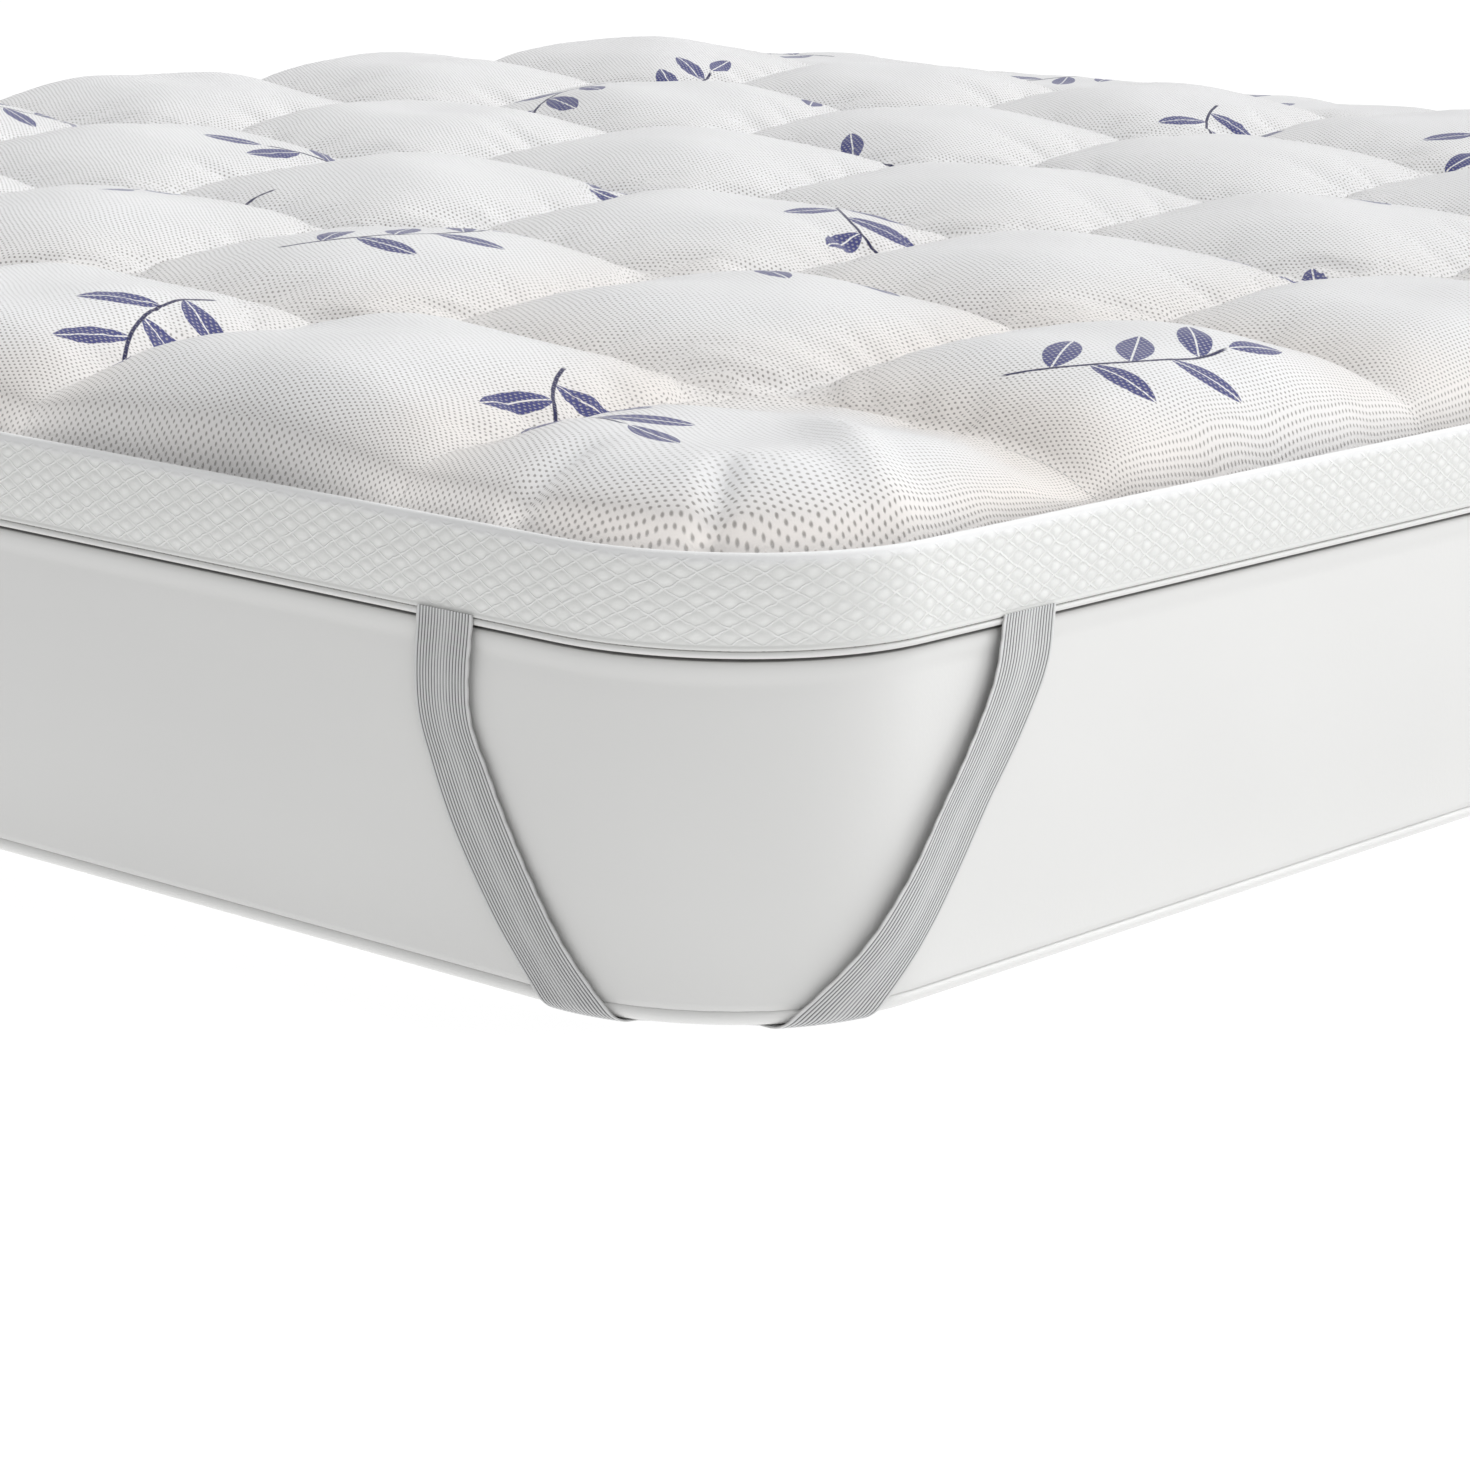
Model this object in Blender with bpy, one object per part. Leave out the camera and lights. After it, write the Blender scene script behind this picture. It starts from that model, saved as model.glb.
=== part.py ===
"""Quilted mattress topper held on a plain mattress by an elastic strap under each corner.

The topper is a filled pad, quilted in nearly square cells, with a border band of spacer
cloth sewn round its side and a thin piping under the band. Each strap is sewn in at the
piping on both sides of a corner and runs under the mattress there.

Metres, +Z up. The origin is on the floor under the middle of the mattress, +X runs
across the bed and +Y along it. The corner described by the tables is the one at +X, -Y.
"""
import math
import random

import bmesh
import bpy
from mathutils import Vector

MM = 0.001

# ---- the bed, in plan ----
BED_WIDTH = 1.600
BED_LENGTH = 1.900
CORNER_RADIUS = 0.122
GAP = 0.3 * MM

# ---- mattress ----
MATTRESS_HEIGHT = 0.178
SIDE_BULGE = 2.0 * MM
TAPE_RADIUS = 4.2 * MM
TAPE_INSET = 3.8 * MM
TAPE_HEIGHT = 6.4 * MM

# Side of the mattress from its flat underside up to its flat top. The underside lifts
# by 2 mm along the edge, where the straps pass under the corners.
MATTRESS_SIDE = (
    # inset mm, height mm
    (50.0, 0.0),
    (39.0, 2.1),
    (8.8, 2.3),
    (8.8, 7.5),
    (7.0, 10.2),
    (4.0, 11.2),
    (0.8, 12.4),
    (0.0, 30.0),
    (-SIDE_BULGE / MM, 94.0),
    (0.0, 154.0),
    (1.0, 167.0),
    (4.0, 175.5),
    (10.0, MATTRESS_HEIGHT / MM),
)

# ---- border band, piping ----
PIPING_RADIUS = 1.6 * MM
PIPING_INSET = 0.4 * MM
PIPING_HEIGHT = 2.0 * MM

# Section of the band, heights above the mattress: a soft outer face, the rolled upper
# hem and the inner face.
BAND_SECTION = (
    # inset mm, height mm
    (0.0, 3.9),
    (-1.2, 15.0),
    (-1.4, 34.0),
    (-1.2, 43.0),
    (-0.9, 47.2),
    (-0.3, 48.9),
    (0.6, 49.8),
    (1.5, 49.9),
    (2.3, 48.6),
    (0.6, 34.0),
    (0.8, 15.0),
    (2.0, 3.9),
)

# ---- quilted pad ----
PAD_INSET = 3.4 * MM
PAD_FOOT_INSET = 3.1 * MM
PAD_EDGE_HEIGHT = 48.5 * MM
CELL_ACROSS = 0.275
CELL_ALONG = 0.291
FIRST_CELL_ACROSS = 0.225
FIRST_CELL_ALONG = 0.262
SMALLEST_CELL_SHARE = 0.1
CELL_STEPS = 7
CROSSING_HEIGHT = 74.0 * MM
SEAM_HEIGHT = 70.5 * MM
CROWN_HEIGHT = 110.0 * MM
CORNER_CELL_SHARE = 0.42
HEAD_ROW_SHARE = 0.34
CROWN_UNEVENNESS = 0.06
SEAM_ROLL = 0.050
CROWN_ROLL = 0.095
CROWN_POWER = 2.25
CROWN_FULLNESS = 0.95
QUILT_SEED = 11

# ---- corner straps ----
STRAP_THICKNESS = 1.2 * MM
STRAP_WRAP_RADIUS = 5.3 * MM
STRAP_UNDER_HEIGHT = 1.1 * MM

# The strap's middle surface seen from the side, from its sewn end down to the tape.
STRAP_SIDE = (
    # inset mm, height mm
    (-2.1, 183.6),
    (-2.4, 179.0),
    (-3.0, 172.0),
    (-4.3, 152.0),
    (-4.9, 102.0),
    (-4.5, 50.0),
    (-3.3, 22.0),
    (-3.0, 12.0),
)

# The two arms of a strap laid out flat: how far down along STRAP_SIDE, how far round
# from the corner's middle, and how wide a level row of the stretched elastic is there.
FOOT_ARM = (
    # down mm, round mm, row width mm
    (0.0, -165.0, 36.0),
    (46.0, -164.5, 35.5),
    (75.0, -153.0, 39.0),
    (105.0, -137.0, 41.5),
    (135.0, -117.0, 41.5),
    (160.0, -97.5, 41.0),
    (190.0, -69.0, 40.0),
)
SIDE_ARM = (
    # down mm, round mm, row width mm
    (0.0, 176.0, 40.5),
    (30.0, 167.0, 45.0),
    (60.0, 147.5, 47.0),
    (90.0, 123.5, 47.0),
    (120.0, 102.0, 46.0),
    (150.0, 77.5, 45.5),
    (190.0, 35.0, 48.0),
)
STRAP_WALL_LENGTH = 172.0 * MM
STRAP_WALL_STEPS = 20
STRAP_WRAP_STEPS = 9
STRAP_UNDER_STEPS = 6
STRAP_WIDTH_STEPS = 2
SIDE_CURVE_STEPS = 60
ARM_CURVE_STEPS = 120
EDGE_TURN_STEPS = 12

# ---- how finely round stretches are drawn ----
CORNER_STEPS = 12
LONG_STEPS = 5
ROLL_STEPS = 6
CREASE_DEGREES = 50.0
QUILT_CREASE_DEGREES = 35.0

COLOURS = {
    # node group: red, green, blue, roughness
    "mattress": (0.80, 0.80, 0.80, 0.45),
    "tape": (0.84, 0.84, 0.84, 0.50),
    "pad": (0.84, 0.83, 0.80, 0.90),
    "band": (0.76, 0.78, 0.76, 0.85),
    "piping": (0.86, 0.86, 0.85, 0.60),
    "strap": (0.50, 0.51, 0.53, 0.80),
}


def clear_scene():
    """Remove whatever the file opened with."""
    for item in list(bpy.data.objects):
        bpy.data.objects.remove(item, do_unlink=True)


def material(name):
    """Principled material of one node group, from COLOURS."""
    red, green, blue, roughness = COLOURS[name]
    made = bpy.data.materials.new(name)
    made.use_nodes = True
    shader = made.node_tree.nodes["Principled BSDF"]
    shader.inputs["Base Color"].default_value = (red, green, blue, 1.0)
    shader.inputs["Roughness"].default_value = roughness
    shader.inputs["Metallic"].default_value = 0.0
    return made


def add_object(name, shape, finish, crease_degrees=CREASE_DEGREES):
    """Turn a bmesh into a named object with outward faces, shaded smooth."""
    bmesh.ops.recalc_face_normals(shape, faces=shape.faces)
    mesh = bpy.data.meshes.new(name)
    shape.to_mesh(mesh)
    shape.free()
    mesh.shade_smooth()
    mesh.set_sharp_from_angle(angle=math.radians(crease_degrees))
    mesh.materials.append(finish)
    item = bpy.data.objects.new(name, mesh)
    bpy.context.scene.collection.objects.link(item)
    return item


def footprint():
    """Points and outward directions round the bed, counter-clockwise from +X, -Y."""
    half_x = BED_WIDTH / 2 - CORNER_RADIUS
    half_y = BED_LENGTH / 2 - CORNER_RADIUS
    centres = ((half_x, -half_y), (half_x, half_y), (-half_x, half_y), (-half_x, -half_y))
    turns = []
    for index, (x, y) in enumerate(centres):
        start = math.radians(90.0 * (index - 1))
        arc = []
        for step in range(CORNER_STEPS + 1):
            angle = start + math.radians(90.0) * step / CORNER_STEPS
            outward = Vector((math.cos(angle), math.sin(angle), 0.0))
            arc.append((Vector((x, y, 0.0)) + CORNER_RADIUS * outward, outward))
        turns.append(arc)
    points = []
    for index, arc in enumerate(turns):
        points += arc
        start, outward = arc[-1]
        end = turns[(index + 1) % len(turns)][0][0]
        points += [(start.lerp(end, step / LONG_STEPS), outward)
                   for step in range(1, LONG_STEPS)]
    return points


def ring_of(shape, outline, inset, height):
    """One closed row of vertices, drawn in from the footprint, at one height."""
    return [shape.verts.new(point - inset * outward + Vector((0.0, 0.0, height)))
            for point, outward in outline]


def bridge(shape, lower, upper):
    """Quads between two closed rows of vertices."""
    count = len(lower)
    for index in range(count):
        after = (index + 1) % count
        shape.faces.new((lower[index], lower[after], upper[after], upper[index]))


def swept_ring(name, section, finish):
    """Closed section of (inset, height) carried once round the bed."""
    shape = bmesh.new()
    outline = footprint()
    rows = [ring_of(shape, outline, inset, height) for inset, height in section]
    for index, row in enumerate(rows):
        bridge(shape, row, rows[(index + 1) % len(rows)])
    return add_object(name, shape, finish)


def round_section(inset, height, radius):
    """Section of a roll, as (inset, height) pairs."""
    return [(inset - radius * math.cos(math.tau * step / ROLL_STEPS),
             height + radius * math.sin(math.tau * step / ROLL_STEPS))
            for step in range(ROLL_STEPS)]


def make_mattress(finish):
    """Plain mattress: MATTRESS_SIDE carried round, closed above and below."""
    shape = bmesh.new()
    outline = footprint()
    rows = [ring_of(shape, outline, inset * MM, height * MM)
            for inset, height in MATTRESS_SIDE]
    for lower, upper in zip(rows, rows[1:]):
        bridge(shape, lower, upper)
    shape.faces.new(rows[0])
    shape.faces.new(rows[-1])
    return add_object("mattress", shape, finish)


def seam_places(first, pitch, total):
    """Distances of the cell edges from the near edge, both outer edges included."""
    places = [0.0, first]
    while places[-1] + pitch < total - pitch * SMALLEST_CELL_SHARE:
        places.append(places[-1] + pitch)
    places.append(total)
    return places


def grid_places(seams):
    """(distance, cell number, share across the cell from -1 to 1) of each grid line."""
    lines = []
    for cell, (start, end) in enumerate(zip(seams, seams[1:])):
        for step in range(CELL_STEPS):
            share = step / CELL_STEPS
            lines.append((start + (end - start) * share, cell, 2 * share - 1))
    lines.append((seams[-1], len(seams) - 2, 1.0))
    return lines


def rounded_corner(x, y, half_x, half_y, radius):
    """Draw a point of a rectangle's corner square into its quarter circle."""
    over_x = (abs(x) - (half_x - radius)) / radius
    over_y = (abs(y) - (half_y - radius)) / radius
    if over_x <= 0.0 or over_y <= 0.0:
        return x, y
    shrink = max(over_x, over_y) / math.hypot(over_x, over_y)
    new_x = half_x - radius + radius * over_x * shrink
    new_y = half_y - radius + radius * over_y * shrink
    return math.copysign(new_x, x), math.copysign(new_y, y)


def edge_distance(x, y, half_x, half_y, radius):
    """How far inside the rounded outline a point lies."""
    over_x = abs(x) - (half_x - radius)
    over_y = abs(y) - (half_y - radius)
    if over_x > 0.0 and over_y > 0.0:
        return radius - math.hypot(over_x, over_y)
    return min(half_x - abs(x), half_y - abs(y))


def crown(share):
    """Rise across a cell: 0 at its seams, 1 along its middle."""
    return max(0.0, 1.0 - abs(share) ** CROWN_POWER) ** CROWN_FULLNESS


def inner_share(share, cell, last_cell):
    """Share across a cell, with the outer half of a border cell counted as its middle."""
    if cell == 0:
        return max(share, 0.0)
    if cell == last_cell:
        return min(share, 0.0)
    return share


def rolled(inside, reach):
    """Quarter-round rise from the rim: 0 at the rim, 1 from the reach on."""
    return math.sqrt(1.0 - (1.0 - min(1.0, inside / reach)) ** 2)


def make_pad(finish):
    """Filled pad: crowned cells between sewn channels, rolled down to the band."""
    half_x = BED_WIDTH / 2 - PAD_INSET
    half_y = BED_LENGTH / 2 - PAD_INSET
    radius = CORNER_RADIUS - PAD_INSET
    across = grid_places(seam_places(FIRST_CELL_ACROSS, CELL_ACROSS, BED_WIDTH))
    along = grid_places(seam_places(FIRST_CELL_ALONG, CELL_ALONG, BED_LENGTH))
    last_across = across[-1][1]
    last_along = along[-1][1]
    draw = random.Random(QUILT_SEED)
    fullness = {}
    for cell_x in range(last_across + 1):
        for cell_y in range(last_along + 1):
            share = 1.0
            if cell_y == last_along:
                share = HEAD_ROW_SHARE
            elif cell_y == 0 and cell_x in (0, last_across):
                share = CORNER_CELL_SHARE
            fullness[cell_x, cell_y] = share - CROWN_UNEVENNESS * draw.random()

    shape = bmesh.new()
    grid = []
    for from_foot, cell_y, share_y in along:
        row = []
        for from_side, cell_x, share_x in across:
            x = half_x * (1.0 - 2.0 * from_side / BED_WIDTH)
            y = half_y * (2.0 * from_foot / BED_LENGTH - 1.0)
            x, y = rounded_corner(x, y, half_x, half_y, radius)
            seam = CROSSING_HEIGHT + (SEAM_HEIGHT - CROSSING_HEIGHT) * max(
                1.0 - share_x ** 2, 1.0 - share_y ** 2)
            inside = max(0.0, edge_distance(x, y, half_x, half_y, radius))
            swell = crown(inner_share(share_x, cell_x, last_across))
            swell *= crown(inner_share(share_y, cell_y, last_along))
            swell *= rolled(inside, CROWN_ROLL)
            height = PAD_EDGE_HEIGHT + (seam - PAD_EDGE_HEIGHT) * rolled(inside, SEAM_ROLL)
            height += (CROWN_HEIGHT - seam) * fullness[cell_x, cell_y] * swell
            row.append(shape.verts.new((x, y, MATTRESS_HEIGHT + height)))
        grid.append(row)
    for low, high in zip(grid, grid[1:]):
        for index in range(len(low) - 1):
            shape.faces.new((low[index], low[index + 1], high[index + 1], high[index]))

    rim = grid[0][:-1] + [row[-1] for row in grid[:-1]]
    rim += grid[-1][:0:-1] + [row[0] for row in grid[:0:-1]]
    narrowing = (PAD_INSET - PAD_FOOT_INSET) / half_x
    foot = [shape.verts.new((vert.co.x * (1.0 + narrowing), vert.co.y * (1.0 + narrowing),
                             MATTRESS_HEIGHT + GAP)) for vert in rim]
    bridge(shape, foot, rim)
    shape.faces.new(foot)
    return add_object("quilted_pad", shape, finish, QUILT_CREASE_DEGREES)


def smooth_curve(rows, steps):
    """Points on one smooth curve through the rows of a table (Catmull-Rom)."""
    points = [Vector(row) for row in rows]
    points = [2 * points[0] - points[1]] + points + [2 * points[-1] - points[-2]]
    spans = len(points) - 3
    curve = []
    for step in range(steps + 1):
        place = spans * step / steps
        index = min(int(place), spans - 1)
        t = place - index
        before, start, end, after = points[index:index + 4]
        curve.append(0.5 * (2 * start + (end - before) * t
                            + (2 * before - 5 * start + 4 * end - after) * t ** 2
                            + (3 * start - before - 3 * end + after) * t ** 3))
    return curve


def strap_side_curve():
    """Fine polyline of (inset, height) down the side, round the edge and underneath."""
    curve = smooth_curve([(inset * MM, height * MM, 0.0) for inset, height in STRAP_SIDE],
                         SIDE_CURVE_STEPS)
    centre_inset = curve[-1].x + STRAP_WRAP_RADIUS
    centre_height = STRAP_UNDER_HEIGHT + STRAP_WRAP_RADIUS
    for step in range(EDGE_TURN_STEPS + 1):
        angle = math.radians(90.0 * step / EDGE_TURN_STEPS)
        curve.append(Vector((centre_inset - STRAP_WRAP_RADIUS * math.cos(angle),
                             centre_height - STRAP_WRAP_RADIUS * math.sin(angle), 0.0)))
    curve.append(Vector((CORNER_RADIUS, STRAP_UNDER_HEIGHT, 0.0)))
    return curve


def point_along(curve, distance):
    """Point of a polyline at a distance from its start, and its direction there."""
    left = distance
    for start, end in zip(curve, curve[1:]):
        length = (end - start).length
        if left <= length and length > 0.0:
            return start.lerp(end, left / length), (end - start) / length
        left -= length
    return curve[-1], (curve[-1] - curve[-2]).normalized()


def corner_point(round_way, inset, height):
    """Place near the +X, -Y corner: distance round from its middle, inset, height."""
    quarter = CORNER_RADIUS * math.radians(45.0)
    straight = max(0.0, abs(round_way) - quarter)
    bent = math.copysign(abs(round_way) - straight, round_way)
    angle = math.radians(-45.0) + bent / CORNER_RADIUS
    outward = Vector((math.cos(angle), math.sin(angle), 0.0))
    sideways = Vector((-math.sin(angle), math.cos(angle), 0.0))
    centre = Vector((BED_WIDTH / 2 - CORNER_RADIUS, CORNER_RADIUS - BED_LENGTH / 2, height))
    return (centre + (CORNER_RADIUS - inset) * outward
            + math.copysign(straight, round_way) * sideways)


def arm_rows(arm, side):
    """Level rows of one arm, top to bottom: (outer face points, inner face points)."""
    table = smooth_curve([(down * MM, way * MM, width * MM) for down, way, width in arm],
                         ARM_CURVE_STEPS)
    end = table[-1].x
    downs = [STRAP_WALL_LENGTH * step / STRAP_WALL_STEPS for step in range(STRAP_WALL_STEPS)]
    downs += [STRAP_WALL_LENGTH + (end - STRAP_WALL_LENGTH) * step / STRAP_WRAP_STEPS
              for step in range(STRAP_WRAP_STEPS + 1)]
    rows = []
    for down in downs:
        after = next(index for index, row in enumerate(table) if row.x >= down - GAP)
        way, width = table[after].y, table[after].z
        if after > 0:
            share = (down - table[after - 1].x) / (table[after].x - table[after - 1].x)
            way = table[after - 1].y + share * (way - table[after - 1].y)
            width = table[after - 1].z + share * (width - table[after - 1].z)
        place, direction = point_along(side, down)
        outward = Vector((direction.y, -direction.x, 0.0))
        faces = []
        for offset in (0.5, -0.5):
            layer = place + offset * STRAP_THICKNESS * outward
            faces.append([corner_point(way + width * (step / STRAP_WIDTH_STEPS - 0.5),
                                       layer.x, layer.y)
                          for step in range(STRAP_WIDTH_STEPS + 1)])
        rows.append(faces)
    return rows


def make_strap(name, mirror_x, mirror_y, finish):
    """Elastic ribbon: down one face, under the corner and up the other face."""
    side = strap_side_curve()
    falling = arm_rows(FOOT_ARM, side)
    rising = [[face[::-1] for face in row] for row in reversed(arm_rows(SIDE_ARM, side))]
    under = []
    for step in range(1, STRAP_UNDER_STEPS):
        share = step / STRAP_UNDER_STEPS
        under.append([[start.lerp(end, share) for start, end in zip(*faces)]
                      for faces in zip(falling[-1], rising[0])])
    shape = bmesh.new()
    loops = []
    for outer, inner in falling + under + rising:
        loops.append([shape.verts.new((spot.x * mirror_x, spot.y * mirror_y, spot.z))
                      for spot in outer + inner[::-1]])
    for low, high in zip(loops, loops[1:]):
        bridge(shape, low, high)
    shape.faces.new(loops[0])
    shape.faces.new(loops[-1])
    return add_object(name, shape, finish)


def main():
    clear_scene()
    finishes = {name: material(name) for name in COLOURS}
    make_mattress(finishes["mattress"])
    swept_ring("mattress_tape", round_section(TAPE_INSET, TAPE_HEIGHT, TAPE_RADIUS),
               finishes["tape"])
    make_pad(finishes["pad"])
    band = [(inset * MM, MATTRESS_HEIGHT + height * MM) for inset, height in BAND_SECTION]
    swept_ring("border_band", band, finishes["band"])
    swept_ring("lower_piping", round_section(
        PIPING_INSET, MATTRESS_HEIGHT + PIPING_HEIGHT, PIPING_RADIUS), finishes["piping"])
    for name, mirror_x, mirror_y in (("strap_foot_right", 1, 1), ("strap_head_right", 1, -1),
                                     ("strap_foot_left", -1, 1), ("strap_head_left", -1, -1)):
        make_strap(name, mirror_x, mirror_y, finishes["strap"])


main()
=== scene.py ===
"""Looks of a quilted mattress topper, held by an elastic strap under each mattress corner.

Metres, +Z up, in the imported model's own frame: the origin is on the floor under the middle
of the mattress, +X runs across the bed and +Y from foot to head. The corner shown nearest
is the one at +X, -Y. Distances "round" the bed start at the middle of that corner and grow
towards +Y.
"""

import math
import random

import bpy
import numpy as np
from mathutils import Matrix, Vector


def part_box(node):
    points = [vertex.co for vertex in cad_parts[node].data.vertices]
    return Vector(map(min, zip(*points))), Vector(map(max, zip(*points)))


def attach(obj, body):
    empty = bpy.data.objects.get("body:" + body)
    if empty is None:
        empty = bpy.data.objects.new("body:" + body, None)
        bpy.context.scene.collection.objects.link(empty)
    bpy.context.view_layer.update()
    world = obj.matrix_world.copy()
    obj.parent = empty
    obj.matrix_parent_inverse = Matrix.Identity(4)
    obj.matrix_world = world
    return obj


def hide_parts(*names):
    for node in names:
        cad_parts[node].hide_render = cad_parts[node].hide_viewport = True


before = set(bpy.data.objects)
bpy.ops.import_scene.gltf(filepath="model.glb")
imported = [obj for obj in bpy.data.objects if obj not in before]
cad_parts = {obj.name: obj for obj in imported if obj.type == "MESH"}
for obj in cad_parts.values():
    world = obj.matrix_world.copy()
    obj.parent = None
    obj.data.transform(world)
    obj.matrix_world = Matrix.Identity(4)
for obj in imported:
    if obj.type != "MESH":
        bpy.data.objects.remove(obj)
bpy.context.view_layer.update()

MM = 0.001

# ---- the bed in plan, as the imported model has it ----
BED_WIDTH = 1.600
BED_LENGTH = 1.900
CORNER_RADIUS = 0.122
MATTRESS_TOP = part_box("mattress")[1].z
GAP = 0.3 * MM

# ---- mattress ----
# Side from the flat underside up to the flat top, with a faint crease near the top.
# Each pair is inset mm, height mm.
MATTRESS_SIDE = (
    (50.0, 0.0), (39.0, 2.1), (8.8, 2.3), (8.8, 7.5), (7.4, 10.6), (4.2, 11.1),
    (2.4, 10.9), (1.2, 10.1), (0.4, 9.6), (0.0, 10.2), (0.1, 13.0), (0.2, 20.0),
    (-0.2, 34.0), (-1.6, 66.0), (-2.0, 94.0), (-1.3, 126.0), (-0.1, 152.0), (0.4, 163.0),
    (1.0, 167.0), (0.6, 169.0), (0.7, 172.5), (1.0, 175.0), (2.2, 176.5), (5.0, 177.1),
    (14.0, 178.0),
)
SIDE_FOOT = 13.5 * MM
SIDE_HEAD = 165.0 * MM
SIDE_EVENING_TURNS = 12
MATTRESS_STEP = 3.0 * MM
ROUND_STEP = 16.0 * MM
TICKING_DENT = 0.9 * MM
DENT_FOOT = 14.0 * MM
DENT_HEIGHT = 150.0 * MM
DENT_LENGTH = 0.45
DENTS_ROUND = 2
DENTS_UP = 3
MATTRESS_SHARP = 60.0
# Height over which the painted shade line at the top of the mattress side darkens.
SEAM_SHADE = 0.7 * MM

# ---- rolls: inset mm, height mm, radius mm ----
TAPE_ROLL = (3.8, 6.4, 4.2)
PIPING_ROLL = (0.4, 2.0, 1.6)
ROLL_SIDES = 14
ROLL_STEP = 9.0 * MM

# ---- border band: heights above the mattress ----
# Section from the folded foot up the outer face, over the hem and down the back.
# Each pair is inset mm, height mm.
BAND_SECTION = (
    (1.6, 3.9), (0.4, 3.9), (-0.6, 4.2), (-1.1, 5.0), (-0.9, 5.9), (-0.5, 6.6), (-0.7, 9.0),
    (-1.2, 15.0), (-1.5, 24.0), (-1.5, 34.0), (-1.3, 41.0), (-1.1, 45.0), (-0.9, 47.2),
    (-0.4, 48.7), (0.4, 49.6), (1.5, 49.9), (2.7, 49.0), (2.0, 46.0), (0.8, 34.0),
    (0.9, 15.0),
)
BELOW_FACE, ABOVE_FACE = 4, 13
BAND_FOOT = 6.4 * MM
BAND_HEAD = 48.0 * MM
CELLS_ROUND = 452
CELL_RISE = 4.3 * MM
PUFF_RISE = 0.5 * MM
STEPS_ALONG_CELL = 5
STEPS_UP_CELL = 3
PUFF_FADE = 1.5 * MM
PUFF_WIDTH = 0.60
PUFF_HEIGHT = 0.66

# ---- quilted pad: heights above the mattress ----
PAD_INSET = 3.4 * MM
PAD_FOOT_INSET = 3.1 * MM
PAD_EDGE_HEIGHT = 48.5 * MM
CELL_ACROSS = 0.275
CELL_ALONG = 0.291
FIRST_CELL_ACROSS = 0.225
FIRST_CELL_ALONG = 0.262
SMALLEST_CELL_SHARE = 0.1
CROSSING_HEIGHT = 74.0 * MM
SEAM_HEIGHT = 70.5 * MM
CROWN_HEIGHT = 110.0 * MM
CORNER_CELL_SHARE = 0.42
HEAD_ROW_SHARE = 0.34
CROWN_UNEVENNESS = 0.06
SEAM_ROLL = 0.050
CROWN_ROLL = 0.095
CROWN_POWER = 2.25
CROWN_FULLNESS = 0.95
QUILT_SEED = 11
CLOTH_STEP = 5.9 * MM
EDGE_REACH = 0.06
EDGE_POWER = 1.5

# ---- how the knit cover is puffed ----
PUFF_TRAVEL = 9.0 * MM
PUFF_FRAMES = 20
PUFF_PRESSURE = 4.0
PUFF_BENDING = 1.0
SPARE_CLOTH = 0.04
LINT = 0.5 * MM
LINT_SEED = 5
CALM_TURNS = 30
CALM_REACH = 0.06
LUMP_DEPTH = 3.0 * MM
LUMP_LENGTH = 0.11
RIM_FALL = 17.0 * MM
RIM_FALL_REACH = 20.0 * MM

# Soft folds of the cover near the shown corner, in plan from that corner's outer edges.
FOLDS = (
    # from +X edge mm, from -Y edge mm, heading deg, length mm, width mm, rise mm
    (62.0, 146.0, 145.0, 150.0, 13.0, 5.5),
    (60.0, 215.0, 150.0, 120.0, 30.0, -5.0),
    (18.0, 252.0, 20.0, 90.0, 30.0, -12.0),
    (178.0, 205.0, 45.0, 70.0, 32.0, -4.5),
    (196.0, 120.0, 80.0, 120.0, 40.0, 3.5),
    (225.0, 262.0, 150.0, 90.0, 30.0, -3.5),
    (152.0, 24.0, 92.0, 70.0, 8.0, -6.5),
    (58.0, 39.0, 126.0, 76.0, 7.0, -7.0),
    (196.0, 214.0, 60.0, 60.0, 9.0, 3.5),
    (176.0, 236.0, 30.0, 50.0, 8.0, 3.0),
    (214.0, 182.0, 100.0, 55.0, 9.0, 3.0),
)
FOLD_FADE = 7.0 * MM

# ---- corner straps ----
STRAP_THICKNESS = 0.9 * MM
STRAP_WRAP_RADIUS = 5.3 * MM
STRAP_UNDER_HEIGHT = 1.1 * MM
# Each pair is inset mm, height mm.
STRAP_SIDE = (
    (-2.1, 183.6), (-2.4, 179.0), (-3.0, 172.0), (-4.3, 152.0), (-4.9, 102.0),
    (-4.5, 50.0), (-3.3, 22.0), (-3.0, 12.0),
)
FOOT_ARM = (
    # down mm, round mm, row width mm
    (0.0, -165.0, 36.0),
    (46.0, -164.5, 35.5),
    (75.0, -153.0, 39.0),
    (105.0, -137.0, 41.5),
    (135.0, -117.0, 41.5),
    (160.0, -97.5, 41.0),
    (190.0, -69.0, 40.0),
)
SIDE_ARM = (
    # down mm, round mm, row width mm
    (0.0, 176.0, 40.5),
    (30.0, 167.0, 45.0),
    (60.0, 147.5, 47.0),
    (90.0, 123.5, 47.0),
    (120.0, 102.0, 46.0),
    (150.0, 77.5, 45.5),
    (190.0, 35.0, 48.0),
)
STRAP_STEP = 1.6 * MM
STRAP_UNDER_STEPS = 40
STRAP_RIBS = 18
RIB_POINTS = 4
RIB_HEIGHT = 0.45 * MM
MIDDLE_RIB_SHARE = 0.6
PICOT_PLACE = 0.97
EDGE_BEND_POWER = 1.5
STRAP_SHARP = 75.0
PICOT_LENGTH = 10.6 * MM
PICOT_REACH = 0.6 * MM
FOOT_EDGE_LIFT = -0.6 * MM
SIDE_EDGE_LIFT = 3.6 * MM
EDGE_PRESS = 1.1 * MM
SIDE_CURVE_STEPS = 60
ARM_CURVE_STEPS = 120
EDGE_TURN_STEPS = 12

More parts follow.
